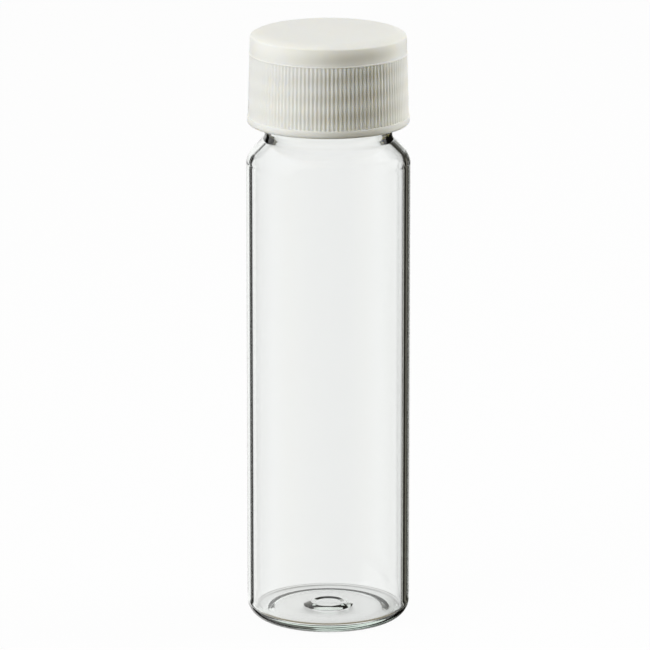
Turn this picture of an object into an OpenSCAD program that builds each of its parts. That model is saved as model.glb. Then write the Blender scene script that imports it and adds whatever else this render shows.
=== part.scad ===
// Screw-neck glass sample vial with a ribbed cap and a disc liner.
// Millimetres, +Z up, origin on the vial's axis where it stands.

/* [Glass body] */
// Outer diameter of the tubular body
body_d = 27.5; // [25:0.5:32]
// Height of the glass from the floor to the rim
glass_h = 98.1; // [94:0.1:110]
// Wall thickness of the body
body_wall = 1.2; // [0.9:0.1:1.6]
// Radius of the heel, where the wall turns into the base
heel_r = 3; // [2:0.1:3.4]
// Radius inside, where the wall turns into the floor
floor_fillet = 0.9; // [0.6:0.1:2]

/* [Base] */
// Glass thickness of the floor above the standing ring
floor_t = 1.8; // [1.4:0.1:2.2]
// Width of the flat ring that the vial stands on
ring_w = 0.4; // [0.3:0.05:1.2]
// Depth of the recess inside the ring
push_h = 0.6; // [0.3:0.05:0.9]
// Width of the slope into the recess
push_w = 1.2; // [0.8:0.1:2.4]
// Radius of the raised ring in the middle of the floor, left where the glass was closed
seal_r = 4.2; // [3.5:0.1:5.5]
// Height of that ring above the floor
seal_h = 0.5; // [0.2:0.05:0.8]
// Width of its outer slope
seal_w = 1.2; // [0.8:0.1:1.5]
// Radius of the shallow pit inside it
pit_r = 2.7; // [1.8:0.1:2.7]
// Depth of the pit below the ring's crest
pit_h = 0.2; // [0.1:0.05:0.6]
// Width of the slope into the pit
pit_w = 0.6; // [0.4:0.1:1.4]

/* [Shoulder and neck] */
// Distance from the rim down to the end of the straight wall
finish_h = 19.5; // [19:0.1:24]
// Radius of the shoulder's round
shoulder_r = 3.2; // [2.6:0.1:4.4]
// How far the shoulder turns in, in degrees
shoulder_turn = 45; // [40:1:60]
// Radius of the hollow between shoulder and neck
neck_fillet = 1.2; // [0.6:0.1:1.6]
// How far the neck stands in from the body's wall
neck_inset = 3.05; // [2.9:0.05:3.4]
// Wall thickness of the neck, under its thread
neck_wall = 1.9; // [1.4:0.05:2.2]
// Radius of the rim's outer edge
rim_round = 0.7; // [0.4:0.05:0.8]
// Radius of the rim's inner edge
bore_round = 0.45; // [0.3:0.05:0.6]

/* [Thread] */
// Rise of the thread in one turn
pitch = 3.175; // [3:0.025:3.4]
// Height of the glass thread above the neck
thread_h = 1.1; // [0.9:0.05:1.2]
// Width of the glass thread at the neck
thread_w = 2.2; // [1.9:0.05:2.3]
// Width of its crest
crest_w = 0.9; // [0.6:0.05:1]
// Turns of glass thread
glass_turns = 1.6; // [1:0.1:1.8]
// Distance from the rim down to the thread's upper end
thread_drop = 3; // [2.8:0.1:3.6]
// Turns of thread in the cap
cap_turns = 1.75; // [1:0.05:1.9]
// Height of the cap's thread above its mouth
cap_thread_rise = 2.5; // [2.2:0.1:3]
// Angle over which a thread runs out at each end
runout = 40; // [20:5:60]

/* [Cap] */
// Height of the cap
cap_h = 15.6; // [15:0.1:16.4]
// Thickness of the cap's top
cap_top_t = 1.3; // [1:0.05:1.8]
// How far the cap's lip stays inside the body's width
cap_inset = 0.17; // [0:0.01:0.3]
// Draft of the cap's side, in degrees
cap_draft = 1.6; // [0.5:0.1:2]
// Number of grip ribs
ribs = 120; // [60:2:132]
// Height of a rib above the wall
rib_h = 0.18; // [0.12:0.01:0.35]
// How far the ribs stay in from the lip's and the collar's width
rib_in = 0.1; // [0.04:0.01:0.16]
// Height of the plain lip below the ribs
lip_h = 1.3; // [0.8:0.1:2]
// Height of the plain band above the ribs
band_h = 3.45; // [3:0.05:4.5]
// Width and height of the bevel from the collar in to the plain band
band_step = 0.12; // [0.05:0.01:0.2]
// Radius of the crown, where the top curves down to its edge
crown_r = 3.5; // [2.5:0.1:5]
// How far the crown turns down, in degrees
crown_turn = 35; // [25:1:45]
// Radius of the cap's top edge
top_round = 0.3; // [0.2:0.05:0.6]
// Radius of the lip's lower edge
lip_round = 0.5; // [0.2:0.05:0.6]

/* [Liner] */
// Thickness of the liner
liner_t = 1.5; // [1:0.1:2]
// How far the liner reaches past the neck
liner_reach = 0.7; // [0.6:0.05:0.8]

/* [Fits] */
// Radial clearance between thread crests and the grooves they run in
crest_gap = 0.3; // [0.25:0.01:0.4]
// Axial clearance between flanks, both sides together
flank_gap = 0.65; // [0.5:0.05:0.75]
// Share of that clearance on the side that pulls the cap down
loaded_share = 0.3; // [0.3:0.05:0.5]
// Clearance over and around the liner
liner_gap = 0.1; // [0.08:0.01:0.2]
// Grip of the bead that keeps the liner in the cap
bead_grip = 0.2; // [0.1:0.01:0.25]

/* [Hidden] */

body_r = body_d / 2;
inside_r = body_r - body_wall;
neck_r = body_r - neck_inset;
bore_r = neck_r - neck_wall;
shoulder_z = glass_h - finish_h;
push_r = body_r - heel_r - ring_w;        // edge of the recess under the base
thread_r = neck_r + thread_h;
groove_r = thread_r + crest_gap;          // bore of the cap between its threads
ridge_r = neck_r + crest_gap;             // crest of the cap's thread

liner_r = neck_r + liner_reach;
ceiling_z = glass_h + liner_t + liner_gap;
cap_top_z = ceiling_z + cap_top_t;
mouth_z = cap_top_z - cap_h;
lip_z = mouth_z + lip_h;
band_z = cap_top_z - band_h;
collar_h = 0.3;                           // plain ring that closes the ribs above
rib_sink = 0.04;                          // how deep the ribs' feet reach into the wall

// Both threads are cut on one helix, half a pitch apart, less the play.
thread_top_z = glass_h - thread_drop;
thread_foot_z = thread_top_z - glass_turns * pitch;
flank_run = thread_w - crest_w;           // both flanks of the glass thread, seen from the side
ridge_crest_w = pitch - thread_w - flank_gap + flank_run * crest_gap / thread_h;
ridge_h = groove_r - ridge_r;
cap_foot_z = mouth_z + cap_thread_rise;
mesh_z = -pitch / 2 + flank_gap * (0.5 - loaded_share);
cap_foot_turn = (cap_foot_z - thread_foot_z - mesh_z) / pitch;

step_a = 7.5;                             // angle between sections of a thread
sink = 0.5;                               // how deep a ridge's foot is buried
end_sink = 0.3;                           // how deep its crest is buried at each end
arc_step = 6;                             // angle between points of an arc
slope_steps = 6;                          // steps in a slope of the base
$fn = 96;

// Points along an arc from angle a to angle b.
function arc(r, x, z, a, b) =
    let (n = max(2, ceil(abs(b - a) / arc_step)))
    [for (i = [0:n]) let (t = a + (b - a) * i / n) [x + r * cos(t), z + r * sin(t)]];

// Falls smoothly from 1 to 0 over the width w that ends at radius edge.
function slope(r, edge, w) =
    r >= edge ? 0 : r <= edge - w ? 1 : (1 - cos(180 * (edge - r) / w)) / 2;

function underside(r) = push_h * slope(r, push_r, push_w);
function floor_z(r) = floor_t + seal_h * slope(r, seal_r, seal_w) - pit_h * slope(r, pit_r, pit_w);

// Radii at which a slope is drawn, outwards to its edge.
function across(edge, w) = [for (i = [0:slope_steps]) edge - w * (1 - i / slope_steps)];

// A wall that turns in through shoulder_turn, then runs straight into the neck's hollow.
function shoulder(wall_r, round_r, top_r, hollow_r) =
    let (a = shoulder_turn,
         run = (wall_r - top_r - (round_r + hollow_r) * (1 - cos(a))) / sin(a),
         z = shoulder_z + (round_r + hollow_r) * sin(a) + run * cos(a))
    concat(arc(round_r, wall_r - round_r, shoulder_z, 0, a),
           arc(hollow_r, top_r + hollow_r, z, 180 + a, 180));

function reversed(p) = [for (i = [len(p) - 1:-1:0]) p[i]];

outer_side = concat(
    [for (r = concat(0, across(push_r, push_w))) [r, underside(r)]],
    arc(heel_r, body_r - heel_r, heel_r, -90, 0),
    shoulder(body_r, shoulder_r, neck_r, neck_fillet),
    arc(rim_round, neck_r - rim_round, glass_h - rim_round, 0, 90));

inner_side = concat(
    [for (r = concat(0, across(pit_r, pit_w), across(seal_r, seal_w))) [r, floor_z(r)]],
    arc(floor_fillet, inside_r - floor_fillet, floor_t + floor_fillet, -90, 0),
    shoulder(inside_r, shoulder_r - body_wall, bore_r, neck_fillet + neck_wall),
    arc(bore_round, bore_r + bore_round, glass_h - bore_round, 180, 90));

// Height of a thread along its length: full, with a smooth run-out at each end.
function thread_rise(a, whole) =
    let (t = max(0, min(1, min(a, whole - a) / runout))) (1 - cos(180 * t)) / 2;

// A ridge along a helix. Its section lists [height share, offset along Z], from foot to foot.
// The ridge stands on a wall of radius root, outwards, or inwards where the height is negative.
module helix_ridge(root, height, section, turns) {
    whole = turns * 360;
    n = ceil(whole / step_a);
    m = len(section);
    points = [for (i = [0:n], p = section)
        let (a = whole * i / n,
             full = thread_rise(a, whole),
             lift = p[0] < 0 ? -sink : p[0] * abs(height) * full - end_sink * (1 - full),
             r = root + sign(height) * lift)
        [r * cos(a), r * sin(a), p[1] + pitch * a / 360]];
    sides = [for (i = [0:n - 1], j = [0:m - 1])
        let (k = (j + 1) % m, b = i * m, c = b + m)
        each [[b + j, c + j, c + k], [b + j, c + k, b + k]]];
    ends = [[for (j = [0:m - 1]) j], [for (j = [m - 1:-1:0]) n * m + j]];
    faces = concat(sides, ends);
    polyhedron(points = points, faces = height < 0 ? faces : [for (f = faces) reversed(f)]);
}

// Section of a ridge that is foot wide at its wall and crest wide at full height. The flanks
// run on below the wall's surface, and the crest's corners are eased.
function ridge_section(foot, crest, height) =
    let (buried = foot / 2 + (foot - crest) / 2 * sink / height,
         corner = crest / 2 + 0.1 * (foot - crest))
    [[-1, -buried], [0.8, -corner], [1, -crest / 4], [1, crest / 4], [0.8, corner], [-1, buried]];

module glass_vial() {
    color([0.86, 0.91, 0.89, 0.45]) {
        rotate_extrude() polygon(concat(outer_side, reversed(inner_side)));
        translate([0, 0, thread_foot_z])
            helix_ridge(neck_r, thread_h, ridge_section(thread_w, crest_w, thread_h), glass_turns);
    }
}

module cap_liner() {
    color([0.95, 0.95, 0.92]) translate([0, 0, glass_h]) cylinder(r = liner_r, h = liner_t);
}

// Radius of the cap's lip and collar at height z
function crest_r(z) = body_r - cap_inset - (z - mouth_z) * tan(cap_draft);

edge_z = cap_top_z - crown_r + (crown_r - top_round) * cos(crown_turn);
edge_r = crest_r(edge_z) - band_step;

cap_outside = concat(
    arc(lip_round, crest_r(mouth_z) - lip_round, mouth_z + lip_round, -90, 0),
    [[crest_r(lip_z), lip_z],
     [crest_r(lip_z) - rib_in - rib_h, lip_z],
     [crest_r(band_z) - rib_in - rib_h, band_z - collar_h],
     [crest_r(band_z), band_z - collar_h],
     [crest_r(band_z), band_z - band_step],
     [crest_r(band_z) - band_step, band_z]],
    arc(top_round, edge_r - top_round, edge_z, 0, 90 - crown_turn),
    arc(crown_r, edge_r - top_round - (crown_r - top_round) * sin(crown_turn), cap_top_z - crown_r,
        90 - crown_turn, 90),
    [[0, cap_top_z]]);

bead_z = glass_h - liner_gap;             // top of the bead that holds the liner
pocket_r = liner_r + liner_gap;
bead_r = liner_r - bead_grip;
bead_back = 0.3;                          // height of the bead's upper slope
bead_flat = 0.2;                          // height of its crest
bead_ramp = 0.8;                          // height of the ramp that the liner is pushed in over
lead_in = 0.4;                            // chamfer of the mouth

cap_inside = [
    [0, ceiling_z], [pocket_r, ceiling_z], [pocket_r, bead_z], [bead_r, bead_z - bead_back],
    [bead_r, bead_z - bead_back - bead_flat], [groove_r, bead_z - bead_back - bead_flat - bead_ramp],
    [groove_r, mouth_z + 2 * lead_in], [groove_r + lead_in, mouth_z]];

// The ribs' ends are buried in the lip and the collar, and their feet in the wall between them.
module rib_ring() {
    foot_z = lip_z - collar_h / 2;
    height = band_z - collar_h / 2 - foot_z;
    crest = crest_r(foot_z) - rib_in;
    foot = crest - rib_h - rib_sink;
    rib_a = 360 / ribs;
    tooth = [[foot, -0.36], [crest, -0.17], [crest, 0.17], [foot, 0.36]];
    outline = [for (i = [0:ribs - 1], p = tooth) let (a = (i + p[1]) * rib_a) [p[0] * cos(a), p[0] * sin(a)]];
    translate([0, 0, foot_z]) difference() {
        linear_extrude(height = height, scale = (crest_r(foot_z + height) - rib_in) / crest) polygon(outline);
        translate([0, 0, -1]) cylinder(r = (groove_r + crest_r(band_z) - rib_h) / 2, h = height + 2);
    }
}

module screw_cap() {
    color([0.91, 0.91, 0.88]) {
        rotate_extrude() polygon(concat(cap_inside, cap_outside));
        rib_ring();
        translate([0, 0, cap_foot_z]) rotate(cap_foot_turn * 360)
            helix_ridge(groove_r, -ridge_h,
                        ridge_section(ridge_crest_w + flank_run, ridge_crest_w, ridge_h), cap_turns);
    }
}

glass_vial();
cap_liner();
screw_cap();
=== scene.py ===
import math

import bmesh
import bpy
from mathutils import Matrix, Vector


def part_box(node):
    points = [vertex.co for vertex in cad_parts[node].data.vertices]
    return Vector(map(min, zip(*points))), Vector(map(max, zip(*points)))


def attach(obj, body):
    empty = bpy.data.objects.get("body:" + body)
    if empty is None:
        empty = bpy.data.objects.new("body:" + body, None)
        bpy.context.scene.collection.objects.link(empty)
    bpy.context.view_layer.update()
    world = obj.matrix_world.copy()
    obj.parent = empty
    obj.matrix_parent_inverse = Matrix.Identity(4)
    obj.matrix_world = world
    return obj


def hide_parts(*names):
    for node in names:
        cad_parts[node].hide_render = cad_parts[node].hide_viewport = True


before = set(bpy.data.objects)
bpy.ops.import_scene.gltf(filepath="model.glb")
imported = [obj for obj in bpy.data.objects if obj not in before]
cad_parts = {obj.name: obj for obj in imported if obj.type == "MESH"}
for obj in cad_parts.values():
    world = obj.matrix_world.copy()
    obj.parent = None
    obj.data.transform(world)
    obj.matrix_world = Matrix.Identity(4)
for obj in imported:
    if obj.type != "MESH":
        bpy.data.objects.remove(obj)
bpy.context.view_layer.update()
mm = 0.001
print("frame loaded:", ", ".join(sorted(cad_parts)))


class Signal:
    # an output socket; arithmetic on it adds Math nodes
    def __init__(self, recipe, socket):
        self.recipe, self.socket = recipe, socket

    def maths(self, operation, *values):
        return self.recipe.node("Math", {"operation": operation}, dict(enumerate(values)))

    def __add__(self, other):
        return self.maths("ADD", self, other)

    def __sub__(self, other):
        return self.maths("SUBTRACT", self, other)

    def __rsub__(self, other):
        return self.maths("SUBTRACT", other, self)

    def __mul__(self, other):
        return self.maths("MULTIPLY", self, other)

    def __truediv__(self, other):
        return self.maths("DIVIDE", self, other)

    def __gt__(self, other):
        return self.maths("GREATER_THAN", self, other)

    __radd__, __rmul__ = __add__, __mul__


class Recipe:
    # the nodes of one material or of the world
    def __init__(self, owner):
        owner.use_nodes = True
        self.tree = owner.node_tree
        self.tree.nodes.clear()

    def node(self, kind, settings=None, sockets=None, output=0):
        made = self.tree.nodes.new("ShaderNode" + kind)
        for name, value in (settings or {}).items():
            if name == "stops":
                stops = made.color_ramp.elements
                while len(stops) < len(value):
                    stops.new(0.5)
                for stop, (place, tone) in zip(stops, value):
                    stop.position = place
                    grey = isinstance(tone, (int, float))
                    stop.color = (tone, tone, tone, 1) if grey else (*tone, 1)
            else:
                setattr(made, name, value)
        for name, value in (sockets or {}).items():
            if isinstance(value, Signal):
                self.tree.links.new(value.socket, made.inputs[name])
            else:
                made.inputs[name].default_value = value
        return Signal(self, made.outputs[output]) if made.outputs else made

    def mixed(self, factor, first, second):
        # mixes two colours, each a link or three numbers
        first, second = (c if isinstance(c, Signal) else (*c, 1) for c in (first, second))
        return self.node("Mix", {"data_type": "RGBA"}, {"Factor": factor, 6: first, 7: second}, 2)

    def axes(self, place):
        return [self.node("SeparateXYZ", {}, {0: place}, axis) for axis in range(3)]

    def ramp(self, value, start, end, low=0.0, high=1.0):
        return self.node("MapRange", {}, {"Value": value, 1: start, 2: end, 3: low, 4: high})

    def bounced(self, kind):
        # 1 where the light has already met a surface of this kind, otherwise 0
        return self.node("LightPath", {}, {}, kind + " Depth") > 0.5


def finished(name, bm, material, body, slot, *replaced):
    # turns a bmesh in millimetres into a smooth piece that rides on its body
    bmesh.ops.scale(bm, vec=(mm, mm, mm), verts=bm.verts)
    mesh = bpy.data.meshes.new(name)
    bm.to_mesh(mesh)
    bm.free()
    mesh.shade_smooth()
    mesh.materials.append(material)
    piece = bpy.data.objects.new(name, mesh)
    bpy.context.scene.collection.objects.link(piece)
    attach(piece, body)
    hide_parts(*replaced)
    print(name, "has", len(mesh.polygons), "faces")


def turned(corners, steps, cuts=None, arcStep=5, shortest=0.08):
    # turns an outline round the Z axis; corners are (radius, height, rounding),
    # and a facet of a rounding spans arcStep degrees, but no less than shortest in millimetres
    bm = bmesh.new()
    points = [bm.verts.new((x, 0, z)) for x, z, rounding in corners]
    bm.faces.new(points)
    for first, number in (cuts or {}).items():    # rows for a thread, on the side after a corner
        wall = bm.edges.get((points[first], points[first + 1]))
        bmesh.ops.subdivide_edges(bm, edges=[wall], cuts=number)
    for x, z, rounding in corners:
        if rounding:
            point = min(bm.verts, key=lambda v: (v.co - Vector((x, 0, z))).length)
            before, after = (edge.other_vert(point).co - point.co for edge in point.link_edges)
            bend = math.pi - before.angle(after)
            pieces = min(math.degrees(bend) / arcStep, rounding * bend / shortest)
            bmesh.ops.bevel(bm, geom=[point], offset=rounding * math.tan(bend / 2),
                            offset_type="OFFSET", affect="VERTICES",
                            segments=max(2, math.ceil(pieces)), profile=0.5, material=-1)
    bmesh.ops.delete(bm, geom=list(bm.faces), context="FACES_ONLY")
    onAxis = [edge for edge in bm.edges if all(abs(v.co.x) < 1e-6 for v in edge.verts)]
    bmesh.ops.delete(bm, geom=onAxis, context="EDGES")
    sectors = 16                    # one sector first and then its copies is far quicker
    sector = 2 * math.pi / sectors
    bmesh.ops.spin(bm, geom=list(bm.verts) + list(bm.edges), cent=(0, 0, 0), axis=(0, 0, 1),
                   angle=sector, steps=steps // sectors)
    bmesh.ops.spin(bm, geom=list(bm.verts) + list(bm.edges) + list(bm.faces), cent=(0, 0, 0),
                   axis=(0, 0, 1), angle=2 * math.pi - sector, steps=sectors - 1,
                   use_duplicate=True)
    bmesh.ops.remove_doubles(bm, verts=bm.verts, dist=1e-4)
    bmesh.ops.recalc_face_normals(bm, faces=bm.faces)
    return bm


thread = {                      # both threads follow one helix; millimetres
    "pitch": 3.175,
    "height": 1.1,              # of the glass thread above the neck
    "foot": 2.2,
    "crest": 0.9,
    "glassTurns": 1.6,
    "drop": 3.0,                # from the rim down to the glass thread's upper end
    "capTurns": 1.75,
    "capRise": 2.5,             # from the cap's mouth up to its thread
    "crestGap": 0.3,
    "flankGap": 0.65,
    "loadedShare": 0.3,
    "runOut": 40,               # degrees over which a thread fades at each end
    "crown": 0.2,               # share of the height by which the crest is rounded
}


def ridgeHeight(turnAngle, height, start, turns, foot, crest):
    # share of a thread's full height at one place of the wall it stands on
    best = 0
    for lap in range(math.ceil(turns) + 1):
        along = turnAngle + 360 * lap
        if along <= turns * 360:
            away = abs(height - start - thread["pitch"] * along / 360)
            flat, corner = crest / 4, crest / 2 + 0.1 * (foot - crest)
            if away < corner:
                section = 1 - thread["crown"] * max(0, away - flat) / (corner - flat)
            else:
                section = (1 - thread["crown"]) * max(0, foot / 2 - away) / (foot / 2 - corner)
            fade = max(0, min(1, min(along, turns * 360 - along) / thread["runOut"]))
            best = max(best, section * (1 - math.cos(math.pi * fade)) / 2)
    return best


def cutThread(bm, root, rise, start, startAngle, turns, foot, crest, low, high):
    # moves the wall's points out, or in where rise is negative, along the helix
    for v in bm.verts:
        radius = math.hypot(v.co.x, v.co.y)
        if abs(radius - root) < 0.02 and low < v.co.z < high:
            angle = (math.degrees(math.atan2(v.co.y, v.co.x)) - startAngle) % 360
            share = ridgeHeight(angle, v.co.z, start, turns, foot, crest)
            stretch = (radius + rise * share) / radius
            v.co.x *= stretch
            v.co.y *= stretch


print("clear glass")
glassLook = {
    "ior": 1.5,
    "absorbs": (12, 6, 10),     # red, green and blue, per metre of glass
}
clearGlass = bpy.data.materials.new("clear_glass")
recipe = Recipe(clearGlass)
surface = recipe.node("BsdfPrincipled", {}, {
    "Base Color": (1, 1, 1, 1), "Roughness": 0.0, "IOR": glassLook["ior"],
    "Transmission Weight": 1.0})
density = max(glassLook["absorbs"])
tint = recipe.node("VolumeAbsorption", {}, {
    "Color": (*[1 - a / density for a in glassLook["absorbs"]], 1), "Density": density})
recipe.node("OutputMaterial", {}, {"Surface": surface, "Volume": tint})

print("glass vial")
glass = {                       # millimetres
    "height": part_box("glass_vial")[1].z / mm,
    "body": 13.75,              # radius
    "wall": 1.2,
    "heel": 3.0,
    "floorFillet": 0.9,
    "floor": 1.8,
    "ring": 0.4,                # flat ring it stands on
    "recess": 0.6,              # under the base
    "recessSlope": 1.2,
    "recessRound": 1.0,
    "seal": 4.2,                # raised ring where the glass was closed
    "sealRise": 0.5,
    "sealSlope": 1.2,
    "pit": 2.7,                 # inside that ring
    "pitDepth": 0.2,
    "pitSlope": 0.6,
    "lowRound": 0.4,            # where those slopes meet the floor and the pit
    "crestRound": 0.3,
    "finish": 19.5,             # from the rim down to the end of the straight wall
    "shoulder": 3.2,
    "shoulderTurn": 45,
    "hollow": 1.2,
    "neckInset": 3.05,
    "neckWall": 1.9,
    "rimOut": 0.7,
    "rimIn": 0.45,
    "steps": 288,
    "threadRows": 76,
    "threadMargin": 1.2,        # of fine rows past the thread's two ends
}
inside = glass["body"] - glass["wall"]
neck = glass["body"] - glass["neckInset"]
bore = neck - glass["neckWall"]
rim = glass["height"]
wallEnd = rim - glass["finish"]
recessEdge = glass["body"] - glass["heel"] - glass["ring"]
floorCrest = glass["floor"] + glass["sealRise"]
floorPit = floorCrest - glass["pitDepth"]
halfTurn = math.tan(math.radians(glass["shoulderTurn"] / 2))
lean = math.tan(math.radians(glass["shoulderTurn"]))
shoulderOut = wallEnd + glass["shoulder"] * halfTurn
shoulderIn = wallEnd + (glass["shoulder"] - glass["wall"]) * halfTurn
threadTop = rim - thread["drop"]
threadFoot = threadTop - thread["glassTurns"] * thread["pitch"]
threadLow, threadHigh = threadFoot - glass["threadMargin"], threadTop + glass["threadMargin"]

corners = [
    (0, glass["recess"], 0),
    (recessEdge - glass["recessSlope"], glass["recess"], glass["recessRound"]),
    (recessEdge, 0, glass["recessRound"]),
    (glass["body"], 0, glass["heel"]),
    (glass["body"], shoulderOut, glass["shoulder"]),
    (neck, shoulderOut + glass["neckInset"] / lean, glass["hollow"]),
    (neck, threadLow, 0),
    (neck, threadHigh, 0),
    (neck, rim, glass["rimOut"]),
    (bore, rim, glass["rimIn"]),
    (bore, shoulderIn + (inside - bore) / lean, glass["hollow"] + glass["neckWall"]),
    (inside, shoulderIn, glass["shoulder"] - glass["wall"]),
    (inside, glass["floor"], glass["floorFillet"]),
    (glass["seal"], glass["floor"], glass["lowRound"]),
    (glass["seal"] - glass["sealSlope"], floorCrest, glass["crestRound"]),
    (glass["pit"], floorCrest, glass["crestRound"]),
    (glass["pit"] - glass["pitSlope"], floorPit, glass["lowRound"]),
    (0, floorPit, 0),
]
bm = turned(corners, glass["steps"], cuts={6: glass["threadRows"]}, arcStep=4)
cutThread(bm, neck, thread["height"], threadFoot, 0, thread["glassTurns"],
          thread["foot"], thread["crest"], threadLow, threadHigh)
finished("glass_body", bm, clearGlass, "vial", "clear_glass", "glass_vial")

print("cap plastic")
capLook = {
    "colour": (0.87, 0.862, 0.80),
    "cloudTone": 0.97,          # of the faint darker clouds in it
    "cloudScale": 90.0,
    "grainScale": 900.0,
    "grainBump": 0.12,
    "roughness": 0.38,
    "ior": 1.49,
    "scatter": 0.8,
    "depth": (2.2, 2.0, 1.6),   # millimetres that light travels in the plastic
    "shade": (0.25, 0.21, 0.10),    # painted shade of the thread's laps seen through the plastic, between the laps
    "shadeShare": 0.05,
    "darkAngle": -70,           # degrees, the side where the painted shade is strongest, as less light falls there
    "darkShare": 0.2,
    "lapHeight": 93.8,          # millimetres, of a lap on that side
    "shadeTop": 100.0,          # no shade above this height
    "highlightLine": 97.39,              # height of the collar's edge, where a lighter line is painted as a highlight
    "highlightColour": (1, 0.99, 0.92),
}
capPlastic = bpy.data.materials.new("cap_plastic")
recipe = Recipe(capPlastic)
place = recipe.node("TexCoord", {}, {}, "Object")
grain = recipe.node("TexNoise", {}, {
    "Vector": place, "Scale": capLook["grainScale"], "Detail": 3.0})
cloud = recipe.node("TexNoise", {}, {
    "Vector": place, "Scale": capLook["cloudScale"], "Detail": 2.0})
dull = [capLook["cloudTone"] * c for c in capLook["colour"]]
plain = recipe.mixed(cloud, capLook["colour"], dull)
# painted shade: darker bands between the laps of the thread behind the plastic, strongest on one
# side
x, y, z = recipe.axes(place)
turn = y.maths("ARCTAN2", y, x) - math.radians(capLook["darkAngle"])
side = turn.maths("POWER", turn.maths("MAXIMUM", turn.maths("COSINE", turn), 0.0), 6.0)
lap = (z / mm - capLook["lapHeight"]) * (2 * math.pi / thread["pitch"]) - turn
strength = capLook["shadeShare"] + side * capLook["darkShare"]
shade = (0.5 - 0.5 * lap.maths("COSINE", lap)) * strength
below = recipe.ramp(z, capLook["shadeTop"] * mm, (capLook["shadeTop"] + 0.5) * mm, 1.0, 0.0)
# painted highlight: a lighter line along the collar's edge, where light catches it
highlightLine = recipe.ramp(z.maths("ABSOLUTE", z / mm - capLook["highlightLine"]), 0.05, 0.2, 1.0, 0.0)
highlighted = recipe.mixed(highlightLine, plain, capLook["highlightColour"])
tone = recipe.mixed(shade * below, highlighted, capLook["shade"])
bump = recipe.node("Bump", {}, {
    "Strength": capLook["grainBump"], "Distance": 0.0001, "Height": grain})
surface = recipe.node("BsdfPrincipled", {}, {
    "Base Color": tone, "Roughness": grain * 0.1 + (capLook["roughness"] - 0.05),
    "IOR": capLook["ior"], "Subsurface Weight": capLook["scatter"],
    "Subsurface Radius": capLook["depth"], "Subsurface Scale": mm, "Normal": bump})
recipe.node("OutputMaterial", {}, {"Surface": surface})

print("screw cap")
liner = {                       # millimetres, and its look; the cap closes over it
    "thickness": 1.5,
    "reach": 0.7,               # past the neck
    "round": 0.15,
    "steps": 192,
    "colour": (0.83, 0.83, 0.80),
    "roughness": 0.7,
    "cellScale": 3500.0,        # of the foam's cells
    "cellBump": 0.3,
}
linerEdge = neck + liner["reach"]
linerTop = rim + liner["thickness"]

cap = {                         # millimetres
    "height": 15.6,
    "top": 1.3,                 # thickness of the top
    "inset": 0.17,              # of the lip from the body's width
    "draft": 1.6,               # degrees
    "ribs": 120,
    "ribHeight": 0.18,
    "ribInset": 0.1,            # of the ribs from the lip and collar
    "ribHalf": 0.36,            # half of a rib's foot, as a share of the ribs' spacing
    "ribFlank": 0.19,           # one flank, as a share of it
    "ribClear": 0.05,           # from the ribs' ends to the lip and collar
    "ribRow": 0.08,             # height of the first and last row of faces on the ribs
    "lip": 1.3,
    "lipRound": 0.5,
    "edgeRound": 0.05,          # where the lip and the plain band end
    "band": 3.45,
    "bandStep": 0.12,
    "collar": 0.3,
    "collarRound": 0.04,
    "crown": 3.5,               # where the top curves down to its edge
    "crownTurn": 35,
    "topRound": 0.3,
    "linerGap": 0.1,
    "beadGrip": 0.2,            # of the bead that keeps the liner in
    "beadHeight": 1.3,
    "beadCrest": (0.5, 0.3),    # lower and upper end of its crest, below its top
    "leadIn": 0.4,
    "innerRound": 0.1,          # of the edges inside
    "stepsPerRib": 6,
    "threadRows": 50,
    "threadMargin": 1.0,
}
ceiling = linerTop + cap["linerGap"]
capTop = ceiling + cap["top"]
mouth = capTop - cap["height"]
lipEdge = mouth + cap["lip"]
bandEdge = capTop - cap["band"]
groove = neck + thread["height"] + thread["crestGap"]
bead = rim - cap["linerGap"]
beadFoot, beadTop = (bead - below for below in cap["beadCrest"])


def capSide(height):            # radius of the lip and collar, with the draft
    return glass["body"] - cap["inset"] - (height - mouth) * math.tan(math.radians(cap["draft"]))


# the cap's thread fills the gap between two laps of the glass thread, less the clearances
ridgeCrest = (thread["pitch"] - thread["foot"] - thread["flankGap"]
              + (thread["foot"] - thread["crest"]) * thread["crestGap"] / thread["height"])
ridgeFoot = ridgeCrest + thread["foot"] - thread["crest"]
ridgeRise = neck + thread["crestGap"] - groove
capThreadFoot = mouth + thread["capRise"]
halfLap = -thread["pitch"] / 2 + thread["flankGap"] * (0.5 - thread["loadedShare"])
capThreadAngle = (capThreadFoot - threadFoot - halfLap) / thread["pitch"] * 360 % 360
capThreadLow = capThreadFoot - cap["threadMargin"]
capThreadHigh = capThreadFoot + thread["capTurns"] * thread["pitch"] + cap["threadMargin"]
ribLow, ribHigh = lipEdge + cap["ribClear"], bandEdge - cap["collar"] - cap["ribClear"]

crownTurn = math.radians(cap["crownTurn"])
crownRun = (cap["crown"] * math.tan(crownTurn / 2)
            + cap["topRound"] * math.tan((math.pi / 2 - crownTurn) / 2))
crownFoot = capTop - crownRun * math.sin(crownTurn)
crownWidth = capSide(crownFoot) - cap["bandStep"]

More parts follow.
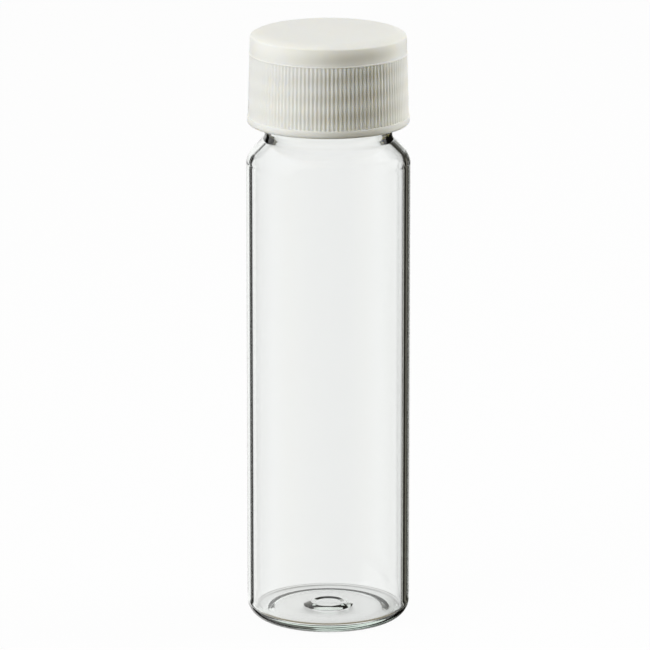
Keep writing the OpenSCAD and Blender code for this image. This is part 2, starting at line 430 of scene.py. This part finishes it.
corners = [
    (0, capTop, 0),
    (crownWidth - crownRun * math.cos(crownTurn), capTop, cap["crown"]),
    (crownWidth, crownFoot, cap["topRound"]),
    (capSide(bandEdge) - cap["bandStep"], bandEdge, cap["edgeRound"]),
    (capSide(bandEdge), bandEdge - cap["bandStep"], cap["collarRound"]),
    (capSide(bandEdge), bandEdge - cap["collar"], cap["collarRound"]),
    *[(capSide(z) - cap["ribInset"] - cap["ribHeight"], z, 0)
      for z in (ribHigh, ribHigh - cap["ribRow"], ribLow + cap["ribRow"], ribLow)],
    (capSide(lipEdge), lipEdge, cap["edgeRound"]),
    (capSide(mouth), mouth, cap["lipRound"]),
    (groove + cap["leadIn"], mouth, cap["innerRound"]),
    (groove, mouth + 2 * cap["leadIn"], 2 * cap["innerRound"]),
    (groove, capThreadLow, 0),
    (groove, capThreadHigh, 0),
    (groove, bead - cap["beadHeight"], cap["innerRound"]),
    (linerEdge - cap["beadGrip"], beadFoot, cap["innerRound"]),
    (linerEdge - cap["beadGrip"], beadTop, cap["innerRound"] / 2),
    (linerEdge + cap["linerGap"], bead, cap["innerRound"] / 2),
    (linerEdge + cap["linerGap"], ceiling, 0),
    (0, ceiling, 0),
]
bm = turned(corners, cap["ribs"] * cap["stepsPerRib"], cuts={14: cap["threadRows"]}, arcStep=6)
for v in bm.verts:              # lifts the ribs out of the wall between lip and collar
    radius = math.hypot(v.co.x, v.co.y)
    if ribLow - 0.01 < v.co.z < ribHigh + 0.01 and radius > groove + 0.5:
        phase = math.degrees(math.atan2(v.co.y, v.co.x)) * cap["ribs"] / 360
        away = abs(phase - round(phase))
        share = max(0, min(1, (cap["ribHalf"] - away) / cap["ribFlank"]))
        stretch = (radius + cap["ribHeight"] * share) / radius
        v.co.x *= stretch
        v.co.y *= stretch
cutThread(bm, groove, ridgeRise, capThreadFoot, capThreadAngle, thread["capTurns"],
          ridgeFoot, ridgeCrest, capThreadLow, capThreadHigh)
finished("ribbed_cap", bm, capPlastic, "cap", "cap_plastic", "screw_cap")

print("liner")
linerFoam = bpy.data.materials.new("liner_foam")
recipe = Recipe(linerFoam)
place = recipe.node("TexCoord", {}, {}, "Object")
cells = recipe.node("TexVoronoi", {}, {"Vector": place, "Scale": liner["cellScale"]})
bump = recipe.node("Bump", {}, {
    "Strength": liner["cellBump"], "Distance": 0.0001, "Height": cells})
surface = recipe.node("BsdfPrincipled", {}, {
    "Base Color": (*liner["colour"], 1), "Roughness": liner["roughness"], "Normal": bump})
recipe.node("OutputMaterial", {}, {"Surface": surface})

corners = [
    (0, linerTop, 0),
    (linerEdge, linerTop, liner["round"]),
    (linerEdge, rim, liner["round"]),
    (0, rim, 0),
]
bm = turned(corners, liner["steps"], arcStep=15)
finished("disc_liner", bm, linerFoam, "liner", "liner_foam", "cap_liner")

print("stage, lights and camera")
studio = {
    "ambient": (0.09, 0.078, 0.03),     # light from the room on what is not glass
    "floorTone": 0.8,
    "glow": 0.97,               # share of the floor that is plain white to the eye
    "shadow": (0.3, 0.27, 0.2),         # of the table close under the glass
    "warmth": (1.0, 0.96, 0.8),         # of the dark parts of the room
    # shade on the table under the glass, by millimetres from the middle
    "underGlass": [(0, 0.25), (12.2, 0.25), (12.5, 0.8), (12.9, 0.8), (13.2, 0.1), (13.9, 0.1),
                   (14.2, 0.8), (14.6, 0.8), (14.9, 0.0)],
    # tones that the room shows in the glass, by degrees from +Y towards +X:
    # off its outer surface, and from inside it below, level with and above the vial
    "outside": [(-180, 0.15), (-120, 0.7), (-95, 0.95), (-48, 0.95), (-45, 0.02), (-33, 0.02),
                (-30, 0.95), (10, 0.95), (17, 0.1), (25, 0.02), (46, 0.02), (52, 0.05),
                (56, 0.95), (68, 0.95), (80, 0.3), (110, 0.1), (180, 0.15)],
    "table": [(-180, 0.03), (-150, 0.05), (-120, 0.5), (-95, 0.95), (-38, 0.95), (-35, 0.01),
              (-25, 0.01), (-22, 0.95), (7, 1.0), (11, 0.2), (15, 0.03), (22, 0.03), (25, 0.2),
              (29, 0.2), (31, 0.0), (37.8, 0.0), (38.8, 0.95), (40, 0.9), (40.6, 0.0),
              (60, 0.0), (110, 0.03), (180, 0.03)],
    "walls": [(-180, 0.03), (-130, 0.05), (-120, 0.95), (-60, 0.95), (-38, 0.95), (-35, 0.01),
              (-25, 0.01), (-22, 0.95), (14, 1.0), (18, 0.05), (90, 0.03), (180, 0.03)],
    "above": [(-180, 0.03), (-130, 0.05), (-120, 0.95), (6, 1.0), (9, 0.15), (30, 0.08),
              (90, 0.03), (180, 0.03)],
    # heights of the directions, as sines, over which one turns into the next
    "wallsStart": (-0.0417, 0.0417),
    "aboveStart": (0.2, 0.26),
    "shadowStart": (-0.5, -0.65),
    "lampAim": 0.06,            # metres, height that the lamps point at
}
world = bpy.data.worlds.new("studio")
bpy.context.scene.world = world
recipe = Recipe(world)
x, y, z = recipe.axes(recipe.node("TexCoord", {}, {}, "Generated"))
azimuth = x.maths("ARCTAN2", x, y) / (2 * math.pi) + 0.5


def ring(tones):                # tones round the room, warm where they are dark
    stops = []
    for angle, tone in tones:
        if tone > 0.9:
            colour = [1 - (1 - warm) * (1 - tone) for warm in studio["warmth"]]
        else:
            colour = [warm * tone for warm in studio["warmth"]]
        stops.append(((angle + 180) / 360, colour))
    return recipe.node("ValToRGB", {"stops": stops}, {0: azimuth})


level = recipe.ramp(z, *studio["wallsStart"])
high = recipe.ramp(z, *studio["aboveStart"])
steep = recipe.ramp(z, *studio["shadowStart"])
within = recipe.mixed(level, ring(studio["table"]), ring(studio["walls"]))
within = recipe.mixed(high, within, ring(studio["above"]))
within = recipe.mixed(steep, within, studio["shadow"])
room = recipe.mixed(recipe.bounced("Transmission"), ring(studio["outside"]), within)
seen = recipe.mixed(recipe.bounced("Glossy"), (1, 1, 1), room)
light = recipe.mixed(recipe.bounced("Diffuse"), seen, studio["ambient"])
background = recipe.node("Background", {}, {"Color": light, "Strength": 1.0})
recipe.node("OutputWorld", {}, {"Surface": background})

floorPaint = bpy.data.materials.new("floor")
recipe = Recipe(floorPaint)
matt = recipe.node("BsdfDiffuse", {}, {"Color": (*[studio["floorTone"]] * 3, 1)})
white = recipe.node("Emission", {}, {"Color": (1, 1, 1, 1), "Strength": 1.0})
place = recipe.node("TexCoord", {}, {}, "Object")
reach = studio["underGlass"][-1][0] * mm
out = recipe.node("VectorMath", {"operation": "LENGTH"}, {0: place}, "Value") / reach
stops = [(distance * mm / reach, tone) for distance, tone in studio["underGlass"]]
under = recipe.node("ValToRGB", {"stops": stops}, {0: out})
eye = recipe.node("LightPath", {}, {}, "Is Camera Ray")
through = recipe.node("LightPath", {}, {}, "Is Transmission Ray")
plain = eye * studio["glow"] + through * (1 - under)
tabletop = recipe.node("MixShader", {}, {0: plain, 1: matt, 2: white})
# reflections and the view from below pass through the floor to the room
fromBelow = recipe.node("NewGeometry", {}, {}, "Backfacing")
reflected = recipe.bounced("Glossy")
seeThrough = reflected.maths("MAXIMUM", reflected, fromBelow)
clear = recipe.node("BsdfTransparent", {}, {})
surface = recipe.node("MixShader", {}, {0: seeThrough, 1: tabletop, 2: clear})
recipe.node("OutputMaterial", {}, {"Surface": surface})
bm = bmesh.new()
bmesh.ops.create_grid(bm, x_segments=1, y_segments=1, size=4)
bmesh.ops.translate(bm, vec=(0, 0, -0.1 * mm), verts=bm.verts)     # just clear of the base
floorMesh = bpy.data.meshes.new("floor")
bm.to_mesh(floorMesh)
bm.free()
floorMesh.materials.append(floorPaint)
floor = bpy.data.objects.new("floor", floorMesh)
bpy.context.scene.collection.objects.link(floor)
floor.visible_glossy = floor.visible_diffuse = False


def softbox(name, azimuth, elevation, distance, width, height, watts, colour):
    # azimuth from -Y towards +X
    a, e = math.radians(azimuth), math.radians(elevation)
    away = Vector((math.sin(a) * math.cos(e), -math.cos(a) * math.cos(e), math.sin(e)))
    lamp = bpy.data.lights.new(name, "AREA")
    lamp.shape, lamp.size, lamp.size_y = "RECTANGLE", width, height
    lamp.energy, lamp.color = watts, colour
    box = bpy.data.objects.new(name, lamp)
    box.location = away * distance + Vector((0, 0, studio["lampAim"]))
    box.rotation_euler = away.to_track_quat("Z", "Y").to_euler()
    box.visible_camera = box.visible_glossy = box.visible_transmission = False
    bpy.context.scene.collection.objects.link(box)


# azimuth, elevation, distance, width, height, watts, colour
softboxes = {
    "key": (-50, 12, 0.8, 0.45, 0.6, 5.0, (0.97, 0.985, 1.03)),
    "side": (-67, 12, 0.8, 0.45, 0.6, 1.6, (0.97, 0.985, 1.03)),
    "rim": (103, 12, 0.8, 0.45, 0.6, 7.2, (0.97, 0.985, 1.03)),
    "overhead": (0, 90, 0.8, 0.2, 0.2, 1.64, (0.99, 1.0, 1.02)),
}
for name, box in softboxes.items():
    softbox(name, *box)

view = {
    "elevation": 14.0,
    "distance": 1.0,            # metres
    "aim": (-0.00056, 0, 0.05058),
    "lens": 329.1508,           # millimetres, on a sensor 36 wide
}
camera = bpy.data.objects.new("camera", bpy.data.cameras.new("camera"))
bpy.context.scene.collection.objects.link(camera)
tilt = math.radians(view["elevation"])
back = Vector((0, -math.cos(tilt), math.sin(tilt)))
camera.location = Vector(view["aim"]) + back * view["distance"]
camera.rotation_euler = back.to_track_quat("Z", "Y").to_euler()
camera.data.lens = view["lens"]
camera.data.sensor_width = 36
bpy.context.scene.camera = camera
bpy.context.scene.view_settings.view_transform = "Standard"
